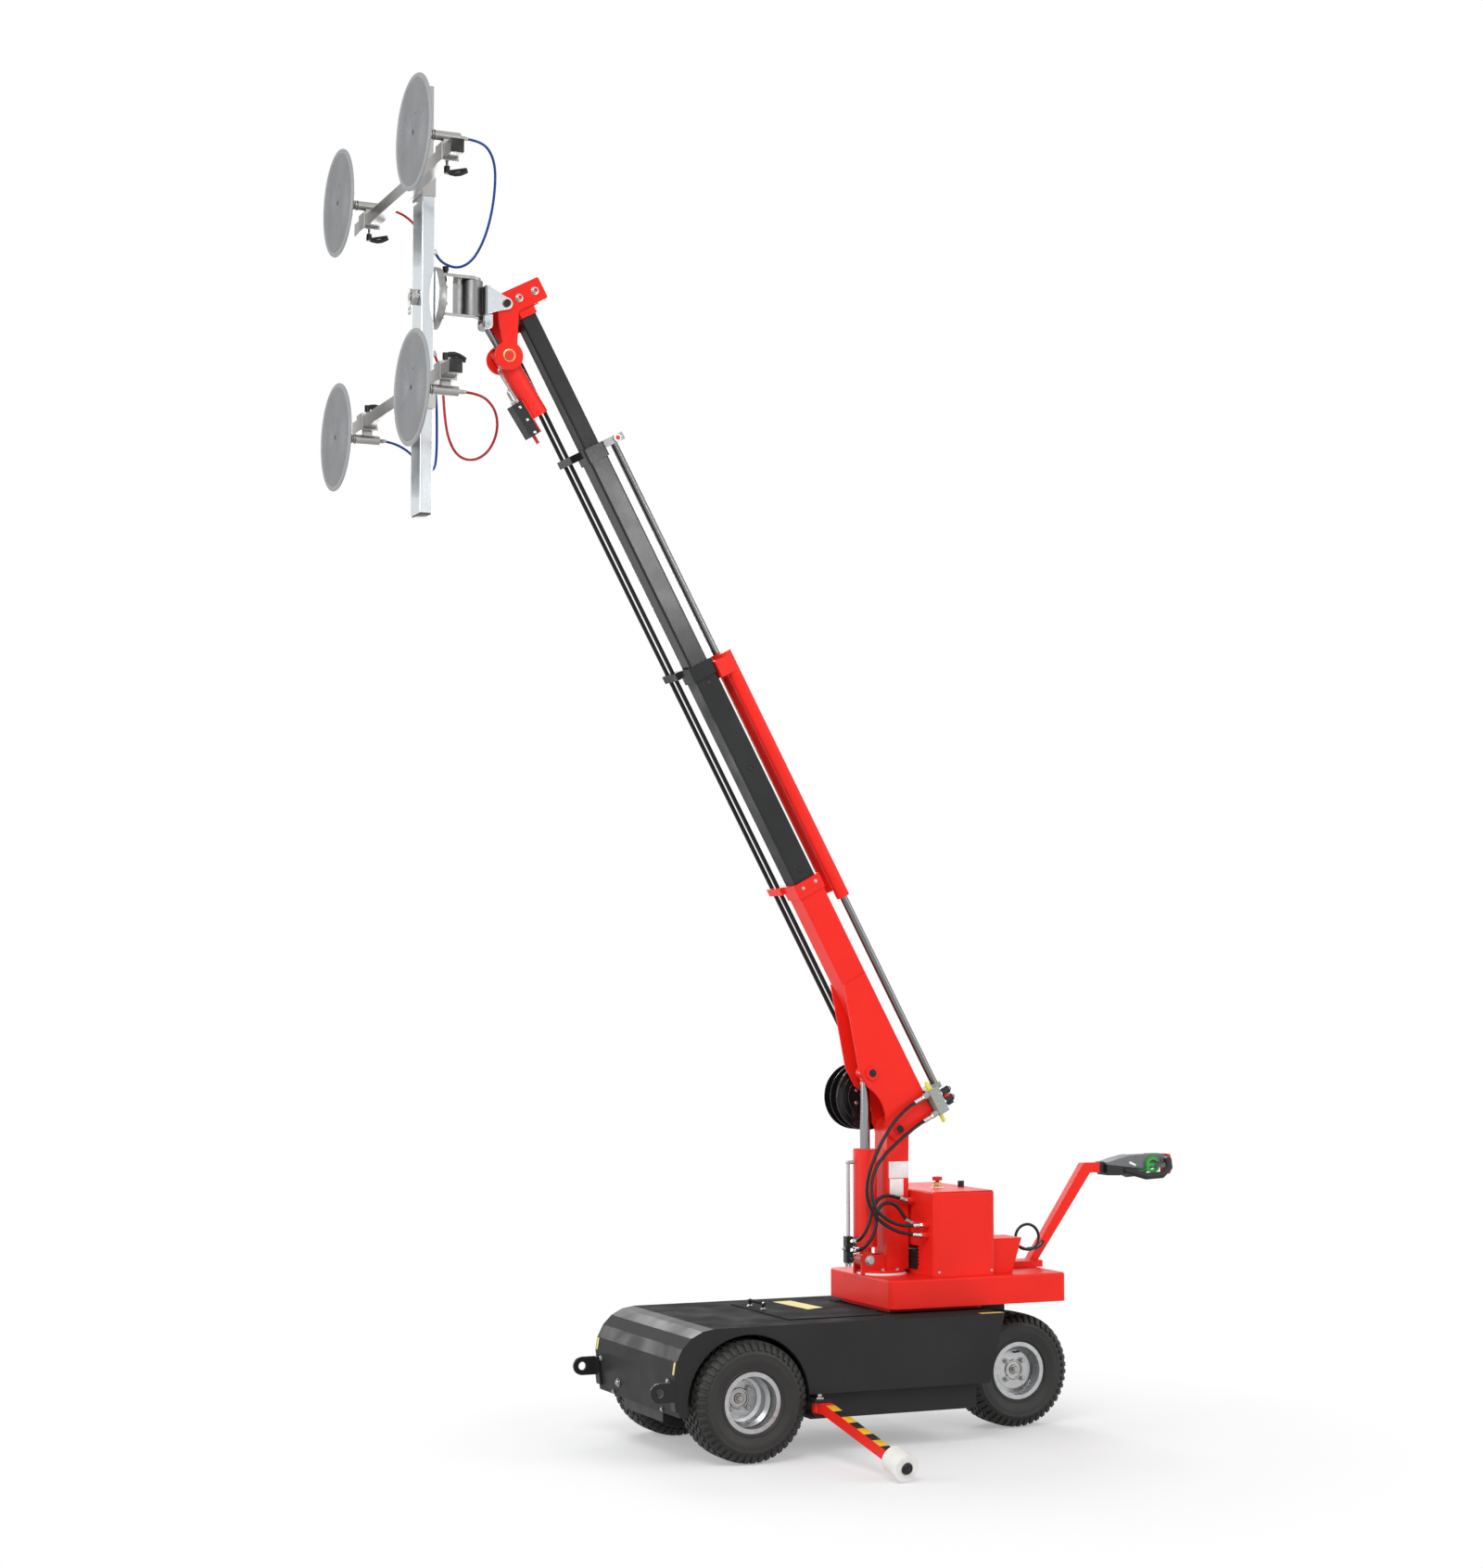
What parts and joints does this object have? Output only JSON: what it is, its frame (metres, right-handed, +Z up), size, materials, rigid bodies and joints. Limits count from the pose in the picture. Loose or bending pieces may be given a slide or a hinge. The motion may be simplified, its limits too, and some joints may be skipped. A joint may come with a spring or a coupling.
{
  "type": "glass panel lifter",
  "caption": "Wheeled glass lifter: battery carrier with tiller, luffing telescopic boom with hydraulic cylinders, and a tilting, turning vacuum frame with adjustable suction cups.",
  "frame": {"origin": "on the floor under the middle of the machine's length, on its centre plane", "axes": "+X forward from tiller to suction cups, +Y to the machine's left, +Z up"},
  "size_m": [3.4854, 2.0632, 5.2052],
  "materials": {
    "dark_paint": "satin",
    "black_paint": "gloss",
    "grey_paint": "matt",
    "red_paint": "gloss",
    "chrome": "polished",
    "zinc": "zinc plated",
    "stainless": "brushed",
    "cup_rubber": "matt",
    "black_plastic": "matt",
    "tyre_rubber": "matt",
    "rim_paint": "satin",
    "red_plastic": "gloss",
    "green_plastic": "satin",
    "nylon": "matt",
    "hose_rubber": "satin",
    "cast": "painted"
  },
  "bodies": {
    "chassis": {"chassis_shell": "dark_paint", "chassis_frame": "black_paint", "battery_pack": "black_plastic", "deck": "red_paint", "power_cover": "red_paint", "power_unit": "cast", "column": "red_paint", "nose_hardware": "zinc", "hydraulic_hoses": "hose_rubber"},
    "wheel_front_left": {"rim_front_left": "rim_paint", "tyre_front_left": "tyre_rubber"},
    "wheel_front_right": {"rim_front_right": "rim_paint", "tyre_front_right": "tyre_rubber"},
    "steering": {"steer_fork": "black_paint", "tiller": "red_paint", "tiller_head": "black_plastic", "tiller_cable": "hose_rubber"},
    "wheel_rear": {"rim_rear": "rim_paint", "tyre_rear": "tyre_rubber"},
    "throttle": {"throttle_lever": "green_plastic"},
    "belly": {"belly_button": "red_plastic"},
    "estop": {"estop_button": "red_plastic"},
    "key": {"key_switch": "black_plastic"},
    "hatch": {"hood_hatch": "dark_paint"},
    "outrigger_left": {"outrigger_arm_left": "red_paint"},
    "roller_left": {"roller_left": "nylon"},
    "outrigger_right": {"outrigger_arm_right": "red_paint"},
    "roller_right": {"roller_right": "nylon"},
    "lift_barrel": {"lift_barrel": "red_paint"},
    "lift_rod": {"lift_rod": "chrome"},
    "boom_base": {"boom_base": "red_paint", "boom_valve": "zinc", "boom_hoses": "hose_rubber"},
    "hose_reel": {"hose_reel": "black_paint"},
    "boom_mid": {"boom_mid": "grey_paint", "telescope_rams": "red_paint"},
    "boom_inner": {"boom_inner": "black_paint"},
    "boom_tip": {"boom_tip": "black_paint", "head_bracket": "red_paint"},
    "tilt_barrel": {"tilt_barrel": "red_paint"},
    "tilt_rod": {"tilt_rod": "chrome"},
    "tilt_yoke": {"tilt_yoke": "zinc"},
    "yaw_frame": {"yaw_frame": "zinc"},
    "index_knob": {"index_knob": "zinc"},
    "beam": {"beam_main": "zinc", "vacuum_hoses": "hose_rubber"},
    "upper_arm": {"upper_arm": "stainless"},
    "lower_arm": {"lower_arm": "stainless"},
    "carrier_upper_left": {"cup_carrier_upper_left": "stainless", "cup_upper_left": "cup_rubber"},
    "lever_upper_left": {"clamp_lever_upper_left": "black_plastic"},
    "carrier_upper_right": {"cup_carrier_upper_right": "stainless", "cup_upper_right": "cup_rubber"},
    "lever_upper_right": {"clamp_lever_upper_right": "black_plastic"},
    "carrier_lower_left": {"cup_carrier_lower_left": "stainless", "cup_lower_left": "cup_rubber"},
    "lever_lower_left": {"clamp_lever_lower_left": "black_plastic"},
    "carrier_lower_right": {"cup_carrier_lower_right": "stainless", "cup_lower_right": "cup_rubber"},
    "lever_lower_right": {"clamp_lever_lower_right": "black_plastic"}
  },
  "joints": [
    {"name": "front_left_spin", "type": "hinge", "parent": "chassis", "child": "wheel_front_left", "pos_m": [0.3633, 0.353, 0.2285], "axis": [0, 1, 0], "continuous": true},
    {"name": "front_right_spin", "type": "hinge", "parent": "chassis", "child": "wheel_front_right", "pos_m": [0.3633, -0.353, 0.2285], "axis": [0, 1, 0], "continuous": true},
    {"name": "steer", "type": "hinge", "parent": "chassis", "child": "steering", "pos_m": [-0.97169, 0, 0.523], "axis": [0, 0, 1], "range_deg": [-70, 70], "deforming": ["tiller_cable"]},
    {"name": "rear_wheel_spin", "type": "hinge", "parent": "steering", "child": "wheel_rear", "pos_m": [-0.97169, 0, 0.2285], "axis": [0, 1, 0], "continuous": true},
    {"name": "throttle_turn", "type": "hinge", "parent": "steering", "child": "throttle", "pos_m": [-1.6487, 0, 1.034], "axis": [0, 1, 0], "range_deg": [-25, 25], "stiffness_Nm_per_rad": 1.2},
    {"name": "belly_press", "type": "slide", "parent": "steering", "child": "belly", "axis": [1, 0, 0], "range_m": [0, 0.007], "stiffness_N_per_m": 900},
    {"name": "estop_press", "type": "slide", "parent": "chassis", "child": "estop", "axis": [0, 0, -1], "range_m": [0, 0.006], "stiffness_N_per_m": 2500},
    {"name": "key_turn", "type": "hinge", "parent": "chassis", "child": "key", "pos_m": [-0.73869, 0.04, 0.97], "axis": [0, 0, 1], "range_deg": [0, 90]},
    {"name": "hatch_lift", "type": "hinge", "parent": "chassis", "child": "hatch", "pos_m": [-0.27399, 0, 0.5103], "axis": [0, -1, 0], "range_deg": [0, 60]},
    {"name": "outrigger_left_swing", "type": "hinge", "parent": "chassis", "child": "outrigger_left", "pos_m": [0.0873, 0.438, 0.196], "axis": [0, 0, 1], "range_deg": [0, 72]},
    {"name": "roller_left_spin", "type": "hinge", "parent": "outrigger_left", "child": "roller_left", "pos_m": [0.0263, 0.931, 0.07757], "axis": [-0.1185, 0.9574, -0.2634], "continuous": true},
    {"name": "outrigger_right_swing", "type": "hinge", "parent": "chassis", "child": "outrigger_right", "pos_m": [0.0873, -0.438, 0.196], "axis": [0, 0, -1], "range_deg": [0, 72]},
    {"name": "roller_right_spin", "type": "hinge", "parent": "outrigger_right", "child": "roller_right", "pos_m": [0.0263, -0.931, 0.07757], "axis": [-0.1185, -0.9574, -0.2634], "continuous": true},
    {"name": "boom_luff", "type": "hinge", "parent": "chassis", "child": "boom_base", "pos_m": [-0.4477, 0, 1.21], "axis": [0, -1, 0], "range_deg": [-58, 8], "deforming": ["hydraulic_hoses"]},
    {"name": "lift_swing", "type": "hinge", "parent": "chassis", "child": "lift_barrel", "pos_m": [-0.32661, 0, 0.69], "axis": [0, -1, 0], "range_deg": [-14.89, 2.92], "deforming": ["hydraulic_hoses"]},
    {"name": "lift_extend", "type": "slide", "parent": "lift_barrel", "child": "lift_rod", "axis": [0, 0, 1], "range_m": [-0.1965, 0.0314]},
    {"name": "reel_spin", "type": "hinge", "parent": "boom_base", "child": "hose_reel", "pos_m": [-0.3729, 0, 1.33325], "axis": [0, 1, 0], "continuous": true},
    {"name": "boom_mid_slide", "type": "slide", "parent": "boom_base", "child": "boom_mid", "axis": [0.4767, 0, 0.8791], "range_m": [-0.78, 0], "deforming": ["boom_hoses"]},
    {"name": "boom_inner_slide", "type": "slide", "parent": "boom_mid", "child": "boom_inner", "axis": [0.4767, 0, 0.8791], "range_m": [-0.85, 0], "deforming": ["boom_hoses"]},
    {"name": "boom_tip_slide", "type": "slide", "parent": "boom_inner", "child": "boom_tip", "axis": [0.4767, 0, 0.8791], "range_m": [-0.5, 0], "deforming": ["boom_hoses"]},
    {"name": "tilt", "type": "hinge", "parent": "boom_tip", "child": "tilt_yoke", "pos_m": [1.2274, 0, 4.39234], "axis": [0, -1, 0], "range_deg": [-10, 60]},
    {"name": "tilt_barrel_swing", "type": "hinge", "parent": "boom_tip", "child": "tilt_barrel", "pos_m": [1.21228, 0, 4.1935], "axis": [0, -1, 0], "range_deg": [-1.86, 6.15]},
    {"name": "tilt_extend", "type": "slide", "parent": "tilt_barrel", "child": "tilt_rod", "axis": [0.5509, 0, 0.8345], "range_m": [-0.0197, 0.1033]},
    {"name": "yaw", "type": "hinge", "parent": "tilt_yoke", "child": "yaw_frame", "pos_m": [1.3464, 0, 4.33834], "axis": [0, 0, 1], "range_deg": [-40, 40]},
    {"name": "index_pull", "type": "slide", "parent": "yaw_frame", "child": "index_knob", "axis": [0, 0, 1], "range_m": [0, 0.012], "stiffness_N_per_m": 1500},
    {"name": "frame_turn", "type": "hinge", "parent": "yaw_frame", "child": "beam", "pos_m": [1.54069, 0, 4.39634], "axis": [1, 0, 0], "continuous": true, "deforming": ["vacuum_hoses"]},
    {"name": "mast_slide", "type": "slide", "parent": "beam", "child": "upper_arm", "axis": [0, 0, 1], "range_m": [0, 0.2], "deforming": ["vacuum_hoses"]},
    {"name": "lower_arm_slide", "type": "slide", "parent": "beam", "child": "lower_arm", "axis": [0, 0, 1], "range_m": [-0.25, 0.12], "deforming": ["vacuum_hoses"]},
    {"name": "carrier_upper_left_slide", "type": "slide", "parent": "upper_arm", "child": "carrier_upper_left", "axis": [0, 1, 0], "range_m": [-0.25, 0.08], "deforming": ["vacuum_hoses"]},
    {"name": "lever_upper_left_turn", "type": "hinge", "parent": "carrier_upper_left", "child": "lever_upper_left", "pos_m": [1.61069, 0.5025, 4.80634], "axis": [0, 0, 1], "range_deg": [-60, 60]},
    {"name": "carrier_upper_right_slide", "type": "slide", "parent": "upper_arm", "child": "carrier_upper_right", "axis": [0, -1, 0], "range_m": [-0.25, 0.08], "deforming": ["vacuum_hoses"]},
    {"name": "lever_upper_right_turn", "type": "hinge", "parent": "carrier_upper_right", "child": "lever_upper_right", "pos_m": [1.61069, -0.5025, 4.80634], "axis": [0, 0, 1], "range_deg": [-60, 60]},
    {"name": "carrier_lower_left_slide", "type": "slide", "parent": "lower_arm", "child": "carrier_lower_left", "axis": [0, 1, 0], "range_m": [-0.25, 0.08], "deforming": ["vacuum_hoses"]},
    {"name": "lever_lower_left_turn", "type": "hinge", "parent": "carrier_lower_left", "child": "lever_lower_left", "pos_m": [1.61069, 0.5025, 4.00034], "axis": [0, 0, 1], "range_deg": [-60, 60]},
    {"name": "carrier_lower_right_slide", "type": "slide", "parent": "lower_arm", "child": "carrier_lower_right", "axis": [0, -1, 0], "range_m": [-0.25, 0.08], "deforming": ["vacuum_hoses"]},
    {"name": "lever_lower_right_turn", "type": "hinge", "parent": "carrier_lower_right", "child": "lever_lower_right", "pos_m": [1.61069, -0.5025, 4.00034], "axis": [0, 0, 1], "range_deg": [-60, 60]}
  ],
  "couplings": [
    {"joint": "lift_swing", "follows": "boom_luff", "ratio": 0.23945},
    {"joint": "lift_extend", "follows": "boom_luff", "m_per_rad": 0.18919},
    {"joint": "tilt_barrel_swing", "follows": "tilt", "ratio": 0.0859},
    {"joint": "tilt_extend", "follows": "tilt", "m_per_rad": 0.09575}
  ]
}
